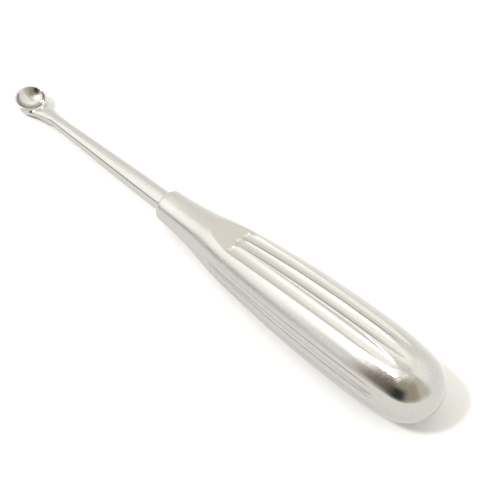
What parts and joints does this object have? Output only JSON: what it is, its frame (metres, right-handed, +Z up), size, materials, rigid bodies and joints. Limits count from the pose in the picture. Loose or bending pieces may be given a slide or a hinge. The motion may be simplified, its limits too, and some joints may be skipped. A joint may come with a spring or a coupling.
{
  "type": "bone curette",
  "caption": "Hand instrument for scraping bone: open round cup on a tapered shaft, set in a hollow pear-shaped fluted handle with thumb flats.",
  "frame": {"origin": "middle of the footprint, on the surface that the instrument rests on", "axes": "+X from the cup towards the butt of the handle, +Z up, cup open upwards; the long axis rises towards the butt by 3.7 degrees, as the instrument rests"},
  "size_m": [0.1684, 0.0212, 0.022],
  "materials": {
    "polished_steel": "polished",
    "satin_steel": "satin with fine lengthwise grain, polished at the butt"
  },
  "bodies": {
    "root": {"cup_and_shaft": "polished_steel", "handle_shell": "satin_steel"}
  },
  "joints": []
}
